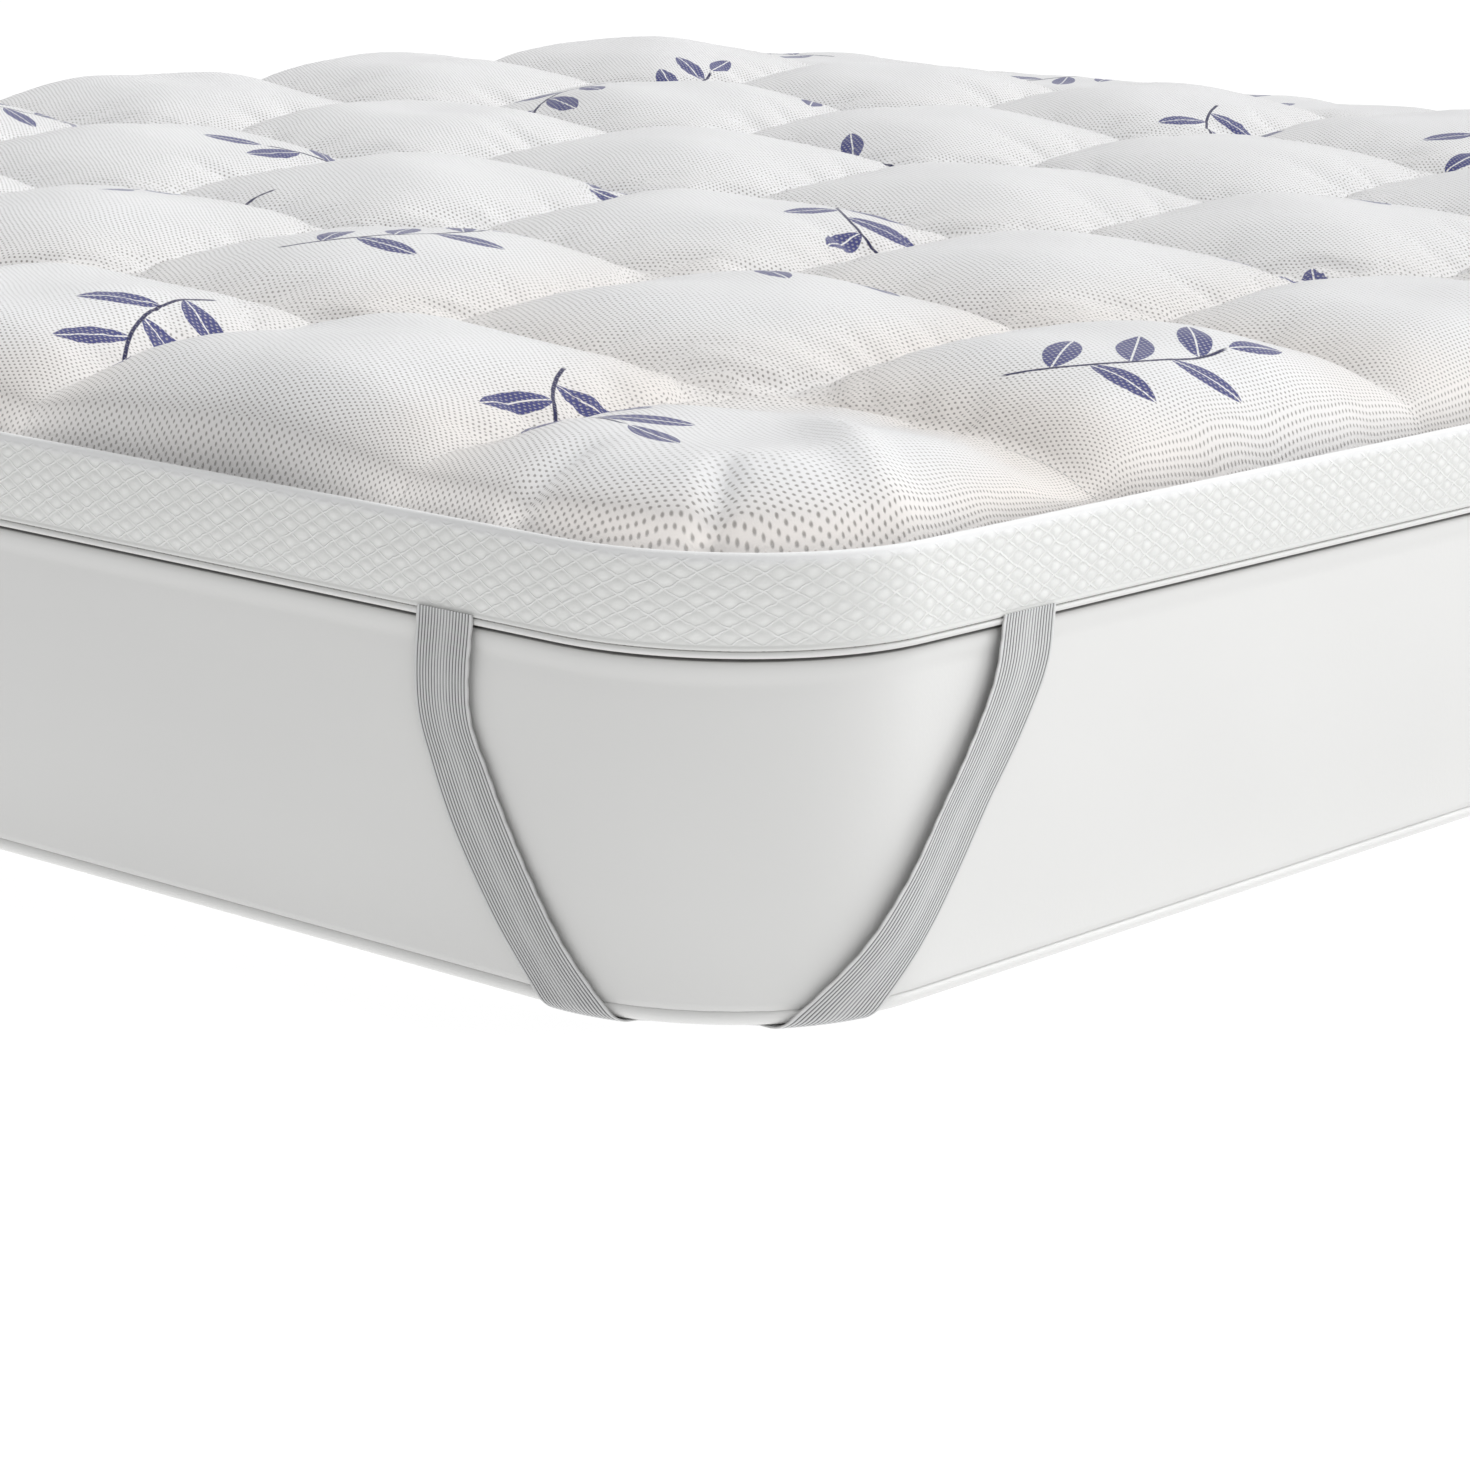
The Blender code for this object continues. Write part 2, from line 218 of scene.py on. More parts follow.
# ---- quilting thread ----
STITCH_PITCH = 5.0 * MM
STITCH_LENGTH = 4.2 * MM
STITCH_THICKNESS = 0.6 * MM
STITCH_LIFT = 0.3 * STITCH_THICKNESS

# ---- knit cover: rows of fine holes, and a scattered leaf print ----
HOLE_PITCH = 3.3 * MM
HOLE_RISE = 2.7 * MM
HOLE_RADIUS = 0.80 * MM
STRETCHED_CORNER = 0.62
SPRIG_ACROSS = 0.285
SPRIG_ALONG = 0.33
SPRIG_STRAY = 0.32
SPRIG_SIZE = 1.45
STEM_WIDTH = 1.1 * MM
VEIN_WIDTH = 0.5 * MM
LEAF_POWER = 0.8
LEAF_FULLNESS = 1.55
STEM = (-52.0, 73.0, 96.0)
STEM_ENDS = (-16.0, 84.0)
LEAVES = (
    # place along the stem mm, heading deg, length mm, width mm
    (2.0, 66.0, 34.0, 13.0),
    (16.0, -46.0, 32.0, 12.0),
    (32.0, 74.0, 36.0, 14.0),
    (50.0, -26.0, 31.0, 12.0),
    (66.0, 88.0, 34.0, 13.0),
    (84.0, 38.0, 30.0, 11.0),
)

# ---- camera and studio ----
CAMERA_PLACE = (2.0698, -2.4497, 0.6247)
CAMERA_TURN = (76.5385, -1.1367, 40.7573)
CAMERA_LENS = 110.15
SENSOR_WIDTH = 36.0
FLOOR_SIZE = 80.0
LAMPS = {
    # name: (direction it shines from, strength, spread in degrees)
    "overhead": ((0.16, 0.47, 0.87), 2.30, 28.0),
    "side": ((0.42, 0.90, 0.12), 0.98, 32.0),
    "fill": ((0.92, -0.30, 0.08), 0.48, 50.0),
}
SKY_STRENGTH = 0.40
BACKDROP_STRENGTH = 1.0
FLOOR_GLOW = 0.95
FLOOR_TONE = 0.11


# ---- node graphs written as Python expressions ----

def maths_node(operation, reflected=False):
    """A method of Value that adds one Math node to its graph."""
    def add_node(value, *others):
        inputs = (*others, value) if reflected else (value, *others)
        return value.graph.maths(operation, *inputs)
    return add_node


class Value:
    """An output socket that can be used in Python arithmetic; each operator adds a node."""

    def __init__(self, graph, socket):
        self.graph = graph
        self.socket = socket

    __add__ = __radd__ = maths_node("ADD")
    __sub__ = maths_node("SUBTRACT")
    __rsub__ = maths_node("SUBTRACT", reflected=True)
    __mul__ = __rmul__ = maths_node("MULTIPLY")
    __truediv__ = maths_node("DIVIDE")
    __rtruediv__ = maths_node("DIVIDE", reflected=True)
    __pow__ = maths_node("POWER")
    __abs__ = maths_node("ABSOLUTE")
    floor = maths_node("FLOOR")
    fraction = maths_node("FRACT")
    sine = maths_node("SINE")
    cosine = maths_node("COSINE")
    root = maths_node("SQRT")
    least = maths_node("MINIMUM")
    most = maths_node("MAXIMUM")
    below = maths_node("LESS_THAN")


class Graph:
    """Ways to add nodes that finishes and Geometry Nodes trees share."""

    def __init__(self, tree):
        self.tree = tree

    def node(self, kind, settings, inputs, output=0):
        """Add a node: its settings first, then the values or links of its sockets."""
        made = self.tree.nodes.new(kind)
        for name, value in settings.items():
            setattr(made, name, value)
        for name, value in inputs.items():
            if isinstance(value, Value):
                self.tree.links.new(value.socket, made.inputs[name])
            else:
                made.inputs[name].default_value = value
        return Value(self, made.outputs[output])

    def maths(self, operation, *values):
        return self.node("ShaderNodeMath", {"operation": operation}, dict(enumerate(values)))

    def vector(self, x=0.0, y=0.0, z=0.0):
        return self.node("ShaderNodeCombineXYZ", {}, {"X": x, "Y": y, "Z": z})

    def parts(self, vector):
        """The x, y and z of a vector."""
        made = self.node("ShaderNodeSeparateXYZ", {}, {"Vector": vector}).socket.node
        return [Value(self, socket) for socket in made.outputs]

    def smooth(self, value, low, high, start=0.0, end=1.0):
        """Smooth step of a value from start at low to end at high."""
        return self.node("ShaderNodeMapRange", {"interpolation_type": "SMOOTHSTEP"},
                         {"Value": value, "From Min": low, "From Max": high,
                          "To Min": start, "To Max": end})


class Finish(Graph):
    """One material: a Principled shader and what drives it."""

    def __init__(self, name, colour, roughness, **shader):
        self.material = bpy.data.materials.new(name)
        self.material.use_nodes = True
        super().__init__(self.material.node_tree)
        self.shader = self.tree.nodes["Principled BSDF"]
        self.shader.inputs["Base Color"].default_value = (*colour, 1.0)
        self.shader.inputs["Roughness"].default_value = roughness
        for socket, value in shader.items():
            self.shader.inputs[socket.replace("_", " ")].default_value = value

    def drive(self, socket, value):
        self.tree.links.new(value.socket, self.shader.inputs[socket])

    def bump(self, height, distance, strength):
        """Let a height between 0 and 1 shape the surface; the distance is in metres."""
        self.drive("Normal", self.node(
            "ShaderNodeBump", {}, {"Height": height, "Distance": distance,
                                   "Strength": strength}))

    def paint(self, colour, *coats):
        """Base colour under coats of other colours, each with its share and its colour."""
        mixed = (*colour, 1.0)
        for share, coat in coats:
            mixed = self.node("ShaderNodeMix", {"data_type": "RGBA", "clamp_factor": True},
                              {0: share, 6: mixed, 7: (*coat, 1.0)}, output=2)
        self.drive("Base Color", mixed)

    def noise(self, where, scale, detail=2.0):
        return self.node("ShaderNodeTexNoise", {},
                         {"Vector": where, "Scale": scale, "Detail": detail})

    def cloth_place(self):
        """The piece's own UV map, in metres of cloth."""
        return self.node("ShaderNodeUVMap", {"uv_map": "cloth"}, {})


class ShapeTree(Graph):
    """A Geometry Nodes tree with named inputs that turns a holder into a plain mesh."""

    def __init__(self, name, sizes):
        group = bpy.data.node_groups.new(name, "GeometryNodeTree")
        super().__init__(group)
        group.interface.new_socket("Geometry", in_out="OUTPUT",
                                   socket_type="NodeSocketGeometry")
        kinds = {size: "Int" if isinstance(value, int) else "Float"
                 for size, value in sizes.items()}
        for socket, kind in {"Geometry": "Geometry", **kinds, "Finish": "Material"}.items():
            group.interface.new_socket(socket, in_out="INPUT",
                                       socket_type="NodeSocket" + kind)
        self.sizes = sizes
        self.entry = group.nodes.new("NodeGroupInput")
        self.exit = group.nodes.new("NodeGroupOutput")

    def given(self, name):
        """One of the tree's inputs."""
        return Value(self, self.entry.outputs[name])

    def end(self, shape):
        """Realize the instances, shade them and give them their finish."""
        whole = self.node("GeometryNodeRealizeInstances", {}, {"Geometry": shape})
        shaded = self.node("GeometryNodeSetShadeSmooth", {},
                           {"Geometry": whole, "Shade Smooth": True})
        finished = self.node("GeometryNodeSetMaterial", {},
                             {"Geometry": shaded, "Material": self.given("Finish")})
        self.tree.links.new(finished.socket, self.exit.inputs["Geometry"])

    def grow(self, name, holder, finish):
        """Run the tree on a holder object and keep the result as a plain mesh piece."""
        modifier = holder.modifiers.new(name, "NODES")
        modifier.node_group = self.tree
        values = dict(self.sizes, Finish=finish.material)
        for item in self.tree.interface.items_tree:
            if item.item_type == "SOCKET" and item.in_out == "INPUT" and item.name in values:
                modifier[item.identifier] = values[item.name]
        depsgraph = bpy.context.evaluated_depsgraph_get()
        mesh = bpy.data.meshes.new_from_object(holder.evaluated_get(depsgraph))
        mesh.name = name
        bpy.data.objects.remove(holder)
        return add_piece(name, mesh)


# ---- shapes ----

def add_piece(name, data):
    """A new object in the scene, from a mesh, a light or a camera."""
    piece = bpy.data.objects.new(name, data)
    bpy.context.scene.collection.objects.link(piece)
    return piece


def mesh_of(name, points, faces, finish=None, cloth=None, smooth=True, full_turn=0.0):
    """Mesh from arrays; cloth gives each point its place on the flat cloth, in metres.

    On a ring the full turn is the cloth's length, so that its last faces don't run back.
    """
    mesh = bpy.data.meshes.new(name)
    mesh.from_pydata(np.asarray(points).tolist(), [], faces)
    mesh.update()
    if cloth is not None:
        layer = mesh.uv_layers.new(name="cloth")
        corners = np.empty(len(mesh.loops), dtype=np.int32)
        mesh.loops.foreach_get("vertex_index", corners)
        places = np.asarray(cloth)[corners]
        if full_turn:
            side = places[:len(places) // 4 * 4].reshape(-1, 4, 2)
            behind = side[..., 0].max(axis=1, keepdims=True) - side[..., 0] > full_turn / 2
            side[..., 0] += full_turn * behind
        layer.data.foreach_set("uv", places.astype(np.float32).ravel())
    if finish is not None:
        mesh.materials.append(finish.material)
    if smooth:
        mesh.shade_smooth()
    return mesh


def quads(rows, columns, closed=False, hooped=False):
    """Faces of a grid of points, row by row.

    Closed joins the last column to the first, and hooped the last row to the first.
    """
    index = np.arange(rows * columns).reshape(rows, columns)
    if closed:
        index = np.hstack([index, index[:, :1]])
    if hooped:
        index = np.vstack([index, index[:1]])
    return np.stack([index[:-1, :-1], index[:-1, 1:], index[1:, 1:], index[1:, :-1]],
                    axis=-1).reshape(-1, 4).tolist()


def tube_faces(rows, columns):
    """Faces of a tube of points with flat ends, row by row."""
    ends = [list(range(columns))[::-1], list(range((rows - 1) * columns, rows * columns))]
    return quads(rows, columns, closed=True) + ends


def soft_waves(x, y, wavelength, seed):
    """Smooth unevenness between about -1 and 1: waves of one length from all sides."""
    draw = random.Random(seed)
    total = np.zeros(np.broadcast(x, y).shape)
    directions = 7
    for _ in range(directions):
        heading = math.tau * draw.random()
        length = wavelength * draw.uniform(0.7, 1.5)
        phase = math.tau * draw.random()
        total += np.sin(math.tau * (x * math.cos(heading) + y * math.sin(heading)) / length
                        + phase)
    return total / math.sqrt(2.0 * directions)


def smooth_curve(rows, steps):
    """Points on one smooth curve through the rows of a table (Catmull-Rom)."""
    points = np.array(rows, dtype=float)
    points = np.vstack([2 * points[0] - points[1], points, 2 * points[-1] - points[-2]])
    spans = len(points) - 3
    places = spans * np.arange(steps + 1) / steps
    index = np.minimum(places.astype(int), spans - 1)
    t = (places - index)[:, None]
    before, start, end, after = (points[index + shift] for shift in range(4))
    return 0.5 * (2 * start + (end - before) * t
                  + (2 * before - 5 * start + 4 * end - after) * t ** 2
                  + (3 * start - before - 3 * end + after) * t ** 3)


def lengths_along(curve):
    """Distance of each point of a polyline from its start."""
    return np.concatenate([[0.0], np.cumsum(np.linalg.norm(np.diff(curve, axis=0), axis=1))])


def bed_round():
    """Length of the bed's outline."""
    return 2 * (BED_WIDTH + BED_LENGTH) + (math.tau - 8) * CORNER_RADIUS


def cell_pitch():
    """Distance between net cells of one row; a whole number of them goes round."""
    return bed_round() / CELLS_ROUND


def round_places(count):
    """Evenly spaced distances, once round the bed."""
    return np.arange(count) * bed_round() / count


def wrapped(distance, inset, height):
    """Points at distances round the bed, at insets from its outline and at heights."""
    half_x = BED_WIDTH / 2 - CORNER_RADIUS
    half_y = BED_LENGTH / 2 - CORNER_RADIUS
    quarter = CORNER_RADIUS * math.pi / 2
    far = np.mod(distance + quarter / 2, bed_round())
    radius = CORNER_RADIUS - inset
    x, y, start = 0.0, 0.0, 0.0
    corners = ((half_x, -half_y), (half_x, half_y), (-half_x, half_y), (-half_x, -half_y))
    for index, (centre_x, centre_y) in enumerate(corners):
        straight = 2 * (half_y if index % 2 == 0 else half_x)
        turned = np.clip((far - start) / CORNER_RADIUS, 0.0, math.pi / 2)
        angle = math.pi / 2 * (index - 1) + turned
        run = np.clip(far - start - quarter, 0.0, straight)
        here = (far >= start) & (far <= start + quarter + straight)
        x = np.where(here, centre_x + radius * np.cos(angle) - run * np.sin(angle), x)
        y = np.where(here, centre_y + radius * np.sin(angle) + run * np.cos(angle), y)
        start += quarter + straight
    return np.stack(np.broadcast_arrays(x, y, height), axis=-1)


# ---- finishes ----

def staggered(along, across, pitch, rise):
    """Place inside the nearest cell of staggered rows, from the cell's middle, in metres."""
    row = (across / rise).floor()
    shift = (row * 0.5).fraction()
    column = along / pitch + shift
    return (column.fraction() - 0.5) * pitch, ((across / rise).fraction() - 0.5) * rise


def diamonds(along, across, pitch, rise):
    """Place inside the nearest cell of a net of diamonds, from the cell's middle."""
    first = (along / pitch + across / (2.0 * rise) + 0.5).fraction() - 0.5
    second = (along / pitch - across / (2.0 * rise) + 0.5).fraction() - 0.5
    return (first + second) * (pitch / 2.0), (first - second) * rise


def sprig_ink(finish, x, y):
    """Ink of the leaf print: filled leaves and their thin stem, as two masks."""
    tile_row = (y / SPRIG_ALONG).floor()
    slide = (tile_row * 0.5).fraction()
    tile_column = (x / SPRIG_ACROSS + slide).floor()
    chance = finish.node("ShaderNodeTexWhiteNoise", {"noise_dimensions": "2D"},
                         {"Vector": finish.vector(tile_column, tile_row)}, output=1)
    chance_x, chance_y, chance_turn = finish.parts(chance)
    from_x = ((x / SPRIG_ACROSS + slide).fraction() - 0.5) * SPRIG_ACROSS
    from_y = ((y / SPRIG_ALONG).fraction() - 0.5) * SPRIG_ALONG
    from_x = from_x + (chance_x - 0.5) * (SPRIG_STRAY * SPRIG_ACROSS)
    from_y = from_y + (chance_y - 0.5) * (SPRIG_STRAY * SPRIG_ALONG)
    turn = chance_turn * math.tau
    cosine, sine = turn.cosine(), turn.sine()
    local_x = (from_x * cosine + from_y * sine) / SPRIG_SIZE
    local_y = (from_y * cosine - from_x * sine) / SPRIG_SIZE
    centre_x, centre_y, radius = STEM
    leaves = None
    for along, heading, length, width in LEAVES:
        angle = math.radians(heading)
        base_x = centre_x + radius * math.sin(along / radius)
        base_y = centre_y - radius * math.cos(along / radius)
        out_x = local_x - base_x * MM
        out_y = local_y - base_y * MM
        share = (out_x * math.cos(angle) + out_y * math.sin(angle)) / (length * MM)
        aside = abs(out_y * math.cos(angle) - out_x * math.sin(angle))
        inside = share.most(0.0).least(1.0)
        half = (inside * (1.0 - inside)) ** LEAF_POWER * (width * MM * LEAF_FULLNESS)
        leaf = finish.smooth(half - aside, 0.0, 0.4 * MM)
        leaf = leaf * finish.smooth(aside, VEIN_WIDTH * 0.6, VEIN_WIDTH)
        leaves = leaf if leaves is None else leaves.most(leaf)
    out_x = local_x - centre_x * MM
    out_y = local_y - centre_y * MM
    away = abs((out_x * out_x + out_y * out_y).root() - radius * MM)
    stem = finish.smooth(away, STEM_WIDTH * 0.5, STEM_WIDTH * 0.9, 1.0, 0.0)
    start, end = (radius * math.sin(place / radius) * MM for place in STEM_ENDS)
    stem = stem * finish.smooth(out_x, start, start + 3.0 * MM)
    stem = stem * finish.smooth(out_x, end - 3.0 * MM, end, 1.0, 0.0)
    return leaves, stem * out_y.below(0.0)


def knit_finish():
    """White knit with staggered fine holes and the dark blue leaf print, with painted shade in
    the valleys of the cover.
    """
    finish = Finish("perforated_knit", (0.80, 0.80, 0.79), 0.9,
                    Sheen_Weight=0.5, Sheen_Roughness=0.4, Specular_IOR_Level=0.2)
    cloth = finish.cloth_place()
    x, y, _ = finish.parts(cloth)
    hollow = finish.node("ShaderNodeAttribute", {"attribute_name": "hollow"}, {}, output=2)
    warp = finish.noise(cloth, 14.0, 1.0) - 0.5
    wobble = finish.noise(cloth, 45.0, 1.0) - 0.5
    corner = finish.node("ShaderNodeVectorMath", {"operation": "DISTANCE"},
                         {0: cloth, 1: (BED_WIDTH / 2, -BED_LENGTH / 2, 0.0)}, output=1)
    slack = finish.smooth(corner, 0.04, 0.30, STRETCHED_CORNER, 1.0)
    from_side = (x - BED_WIDTH / 2) * slack
    from_foot = (y + BED_LENGTH / 2) * slack
    hole_x, hole_y = staggered(from_foot + warp * (14.0 * MM) + wobble * (1.5 * MM),
                               from_side - warp * (10.0 * MM) + wobble * (1.2 * MM),
                               HOLE_PITCH, HOLE_RISE)
    away = (hole_x * hole_x + hole_y * hole_y * 0.8).root()
    hole = finish.smooth(away, HOLE_RADIUS * 0.3, HOLE_RADIUS * 1.2, 1.0, 0.0)
    # Holes show faint on the crowns, where the knit is stretched, and full in the valleys:
    # partly real, partly painted shade.
    fade = finish.smooth(hollow, 0.0, 0.35, 0.55, 1.0)
    patch = finish.smooth(finish.noise(cloth, 9.0), 0.3, 0.7, 0.85, 1.0)
    # Warm tint: random and strongest at the shown corner; keeping it to the valleys is painted
    # shade.
    warm_tint_and_valley_shade = finish.smooth(finish.noise(cloth, 5.0), 0.3, 0.65, 0.45, 1.0)
    warm_tint_and_valley_shade = warm_tint_and_valley_shade * finish.smooth(corner, 0.3, 1.2, 1.0, 0.15)
    warm_tint_and_valley_shade = warm_tint_and_valley_shade.most(finish.smooth(corner, 0.08, 0.28, 1.0, 0.0))
    warm_tint_and_valley_shade = warm_tint_and_valley_shade * finish.smooth(hollow, 0.15, 0.8)
    grain = finish.noise(cloth, 260.0)
    leaves, stem = sprig_ink(finish, x, y)
    finish.paint((0.82, 0.822, 0.833),
                 (warm_tint_and_valley_shade * 0.8, (0.82, 0.77, 0.73)),
                 (grain * 0.10, (0.55, 0.55, 0.54)),
                 (hole * fade * patch * 0.85, (0.24, 0.225, 0.21)),
                 (leaves * (1.0 - hole * 0.75), (0.055, 0.06, 0.20)),
                 (stem * (1.0 - hole * 0.2), (0.018, 0.018, 0.075)))
    loops = finish.noise(cloth, 900.0, 1.0)
    finish.bump(1.0 - hole * 0.8 + loops * 0.25, 0.5 * MM, 0.7)
    return finish


def band_finish():
    """Pale spacer cloth: a net of soft ridges round low puffs, with painted highlights and
    shade, and a paler hem.
    """
    finish = Finish("spacer_cloth", (0.80, 0.81, 0.80), 0.85,
                    Sheen_Weight=0.25, Sheen_Roughness=0.5, Specular_IOR_Level=0.25)
    cloth = finish.cloth_place()
    x, y, _ = finish.parts(cloth)
    wobble = finish.noise(cloth, 90.0) - 0.5
    waver = finish.noise(finish.vector(y, x), 170.0) - 0.5
    cell_x, cell_y = diamonds(x + wobble * (3.0 * MM) + waver * (2.0 * MM),
                              y + wobble * (2.0 * MM) - waver * (1.6 * MM) - BAND_FOOT,
                              cell_pitch(), CELL_RISE)
    wide = cell_x / (PUFF_WIDTH / 2 * cell_pitch())
    tall = cell_y / (PUFF_HEIGHT * CELL_RISE)
    # Painted highlight: each puff is lighter than the cloth round it.
    puff = finish.smooth((wide * wide + tall * tall).root(), 0.25, 1.05, 1.0, 0.0)
    # Painted shadow: a dark dash at the top of each cell, under the ridge above it.
    painted_shade_above_puff = finish.smooth(tall, 0.55, 1.05) * finish.smooth(abs(wide), 0.5, 1.1, 1.0, 0.0)
    brink = abs(cell_x) / cell_pitch() + abs(cell_y) / (2.0 * CELL_RISE)
    # Painted highlight along the net's ridges.
    ridge_and_highlight = finish.smooth(brink, 0.40, 0.48)
    ragged = y + wobble * (5.0 * MM)
    inside = finish.smooth(y, BAND_FOOT, BAND_FOOT + 1.0 * MM)
    inside = inside * finish.smooth(ragged, BAND_HEAD - 2.5 * MM, BAND_HEAD, 1.0, 0.0)
    pale = finish.smooth(ragged, BAND_HEAD - 5.0 * MM, BAND_HEAD - 0.5 * MM)
    fuzz = finish.noise(cloth, 900.0)
    tone = finish.noise(cloth, 60.0)
    # Random unevenness that fades the net's painted highlights and shade here and there.
    net_unevenness = finish.smooth(finish.noise(cloth, 130.0), 0.3, 0.7, 0.3, 1.0)
    finish.paint((0.775, 0.78, 0.765),
                 (puff * inside * net_unevenness, (0.89, 0.895, 0.88)),
                 (painted_shade_above_puff * inside * net_unevenness * 0.5, (0.66, 0.665, 0.65)),
                 (tone * 0.12, (0.74, 0.75, 0.735)),
                 (ridge_and_highlight * inside * net_unevenness * 0.75, (0.95, 0.955, 0.945)),
                 (pale * 0.7, (0.87, 0.875, 0.885)))
    relief = (puff * 0.35 + ridge_and_highlight * 0.8 * net_unevenness + tone * 0.4) * inside
    finish.bump(relief + fuzz * 0.12, 0.8 * MM, 0.6)
    return finish


def fine_cloth_finish(name, colour, shade, roughness, thread, painted_shade_height=1.0, **shader):
    """Smooth cloth with a fine weave, a slow change of tone and painted shade above its top
    seam.
    """
    finish = Finish(name, colour, roughness, **shader)
    place = finish.node("ShaderNodeTexCoord", {}, {}, output=3)  # Object coordinates
    tone = finish.smooth(finish.noise(place, 3.0, 3.0), 0.3, 0.7)
    x, y, z = finish.parts(place)
    # Painted shade: near-black above the seam height, for the shadow in the crevice under the
    # piping.
    painted_crevice_shade = finish.smooth(z, painted_shade_height, painted_shade_height + SEAM_SHADE)
    finish.paint(colour, (tone, shade), (painted_crevice_shade, (0.10, 0.10, 0.10)))
    warp = ((x + y) * (math.tau / thread)).sine()
    weft = ((z + x * 0.37 - y * 0.37) * (math.tau / thread)).sine()
    slub = finish.noise(place, 420.0)
    finish.bump(warp * weft * 0.2 + slub, 0.12 * MM, 0.5)
    rough = finish.noise(place, 14.0)
    finish.drive("Roughness", roughness + (rough - 0.5) * 0.12)
    return finish


def elastic_finish():
    """Grey ribbed elastic: pale ribs with painted shade in the grooves, a crosswise weave, a
    pale edge.
    """
    finish = Finish("ribbed_elastic", (0.50, 0.51, 0.53), 0.75,
                    Sheen_Weight=0.2, Sheen_Roughness=0.4, Specular_IOR_Level=0.3)
    cloth = finish.cloth_place()
    along, across, _ = finish.parts(cloth)
    ribs = abs((across * (math.pi * STRAP_RIBS)).sine())
    middle = finish.smooth(abs(across - 0.5), 0.04, 0.20)
    # Painted shade in the grooves between the ribs, a little lighter across the flatter middle.
    groove_shade = finish.smooth(ribs, 0.10, 0.90, 1.0, 0.0) * (0.8 + middle * 0.2)
    picks = (along * (math.tau / (0.9 * MM))).sine() * 0.5 + 0.5
    streak = finish.noise(finish.vector(along * 70.0, across * STRAP_RIBS * 1.3), 1.0, 1.0)
    light = finish.smooth(streak, 0.45, 0.75)
    edge = finish.smooth(abs(across - 0.5), 0.470, 0.488)
    finish.paint((0.72, 0.725, 0.73),
                 (groove_shade, (0.10, 0.10, 0.105)),
                 (light * (1.0 - groove_shade) * 0.4, (0.80, 0.80, 0.79)),
                 (picks * 0.10, (0.36, 0.36, 0.36)),
                 (edge * 0.6, (0.78, 0.78, 0.775)))
    finish.bump(picks * 0.35 + finish.noise(cloth, 700.0) * 0.4, 0.2 * MM, 0.6)
    return finish


def floor_finish():
    """Plain pale studio floor."""
    return Finish("studio_floor", (FLOOR_TONE, FLOOR_TONE, FLOOR_TONE), 1.0,
                  Specular_IOR_Level=0.0, Emission_Color=(1.0, 1.0, 1.0, 1.0),
                  Emission_Strength=FLOOR_GLOW)


# ---- quilted pad ----

def seam_places(first, pitch, total):
    """Distances of the cell edges from the near edge, both outer edges included."""
    places = [0.0, first]
    while places[-1] + pitch < total - pitch * SMALLEST_CELL_SHARE:
        places.append(places[-1] + pitch)
    places.append(total)
    return places


def grid_places(seams):
    """Distance, cell number, share across the cell (-1 to 1) and seam flag of each line.

    Lines close to an outer edge move away from the first edge, where they spread, and
    towards the last one, where they crowd.
    """
    table = []
    for cell, (start, end) in enumerate(zip(seams, seams[1:])):
        steps = round((end - start) / CLOTH_STEP)
        for step in range(steps):
            share = step / steps
            table.append((start + (end - start) * share, cell, 2 * share - 1, step == 0))
    table.append((seams[-1], len(seams) - 2, 1.0, True))
    table = np.array(table, dtype=float)
    line = table[:, 0]
    for gap in (line.copy(), seams[-1] - line):
        close = gap < EDGE_REACH
        shift = gap - EDGE_REACH * (gap / EDGE_REACH) ** EDGE_POWER
        line[close] += shift[close]
    return table


def quilt_lines():
    """Lines of the cover's grid: those across the bed and those along it."""
    return (grid_places(seam_places(FIRST_CELL_ACROSS, CELL_ACROSS, BED_WIDTH)),
            grid_places(seam_places(FIRST_CELL_ALONG, CELL_ALONG, BED_LENGTH)))


def cell_fullness(across_cells, along_cells):
    """How full each cell is."""
    draw = random.Random(QUILT_SEED)
    fullness = np.ones((across_cells, along_cells))
    for cell_x in range(across_cells):
        for cell_y in range(along_cells):
            if cell_y == along_cells - 1:
                fullness[cell_x, cell_y] = HEAD_ROW_SHARE
            elif cell_y == 0 and cell_x in (0, across_cells - 1):
                fullness[cell_x, cell_y] = CORNER_CELL_SHARE
            fullness[cell_x, cell_y] -= CROWN_UNEVENNESS * draw.random()
    return fullness


def rounded_plan(x, y, half_x, half_y, radius):
    """Draw the corner squares of a rectangle of points into quarter circles."""
    over_x = (np.abs(x) - (half_x - radius)) / radius
    over_y = (np.abs(y) - (half_y - radius)) / radius
    inside = (over_x <= 0.0) | (over_y <= 0.0)
    far = np.where(inside, 1.0, np.hypot(over_x, over_y))
    shrink = np.maximum(over_x, over_y) / far
    new_x = np.copysign(half_x - radius + radius * over_x * shrink, x)
    new_y = np.copysign(half_y - radius + radius * over_y * shrink, y)
    return np.where(inside, x, new_x), np.where(inside, y, new_y)


def edge_distance(x, y, half_x, half_y, radius):
    """How far inside the rounded outline points lie."""
    over_x = np.abs(x) - (half_x - radius)
    over_y = np.abs(y) - (half_y - radius)
    straight = np.minimum(half_x - np.abs(x), half_y - np.abs(y))
    bent = radius - np.hypot(over_x, over_y)
    return np.where((over_x > 0.0) & (over_y > 0.0), bent, straight)


def crown(share):
    """Rise across a cell: 0 at its seams, 1 along its middle."""
    return np.maximum(0.0, 1.0 - np.abs(share) ** CROWN_POWER) ** CROWN_FULLNESS


def inner_share(share, cell):
    """Share across a cell, with the outer half of a border cell counted as its middle."""
    inner = np.where(cell == 0, np.maximum(share, 0.0), share)
    return np.where(cell == cell.max(), np.minimum(inner, 0.0), inner)


def rolled(inside, reach):
    """Quarter-round rise from the rim: 0 at the rim, 1 from the reach on."""
    return np.sqrt(1.0 - (1.0 - np.minimum(1.0, inside / reach)) ** 2)


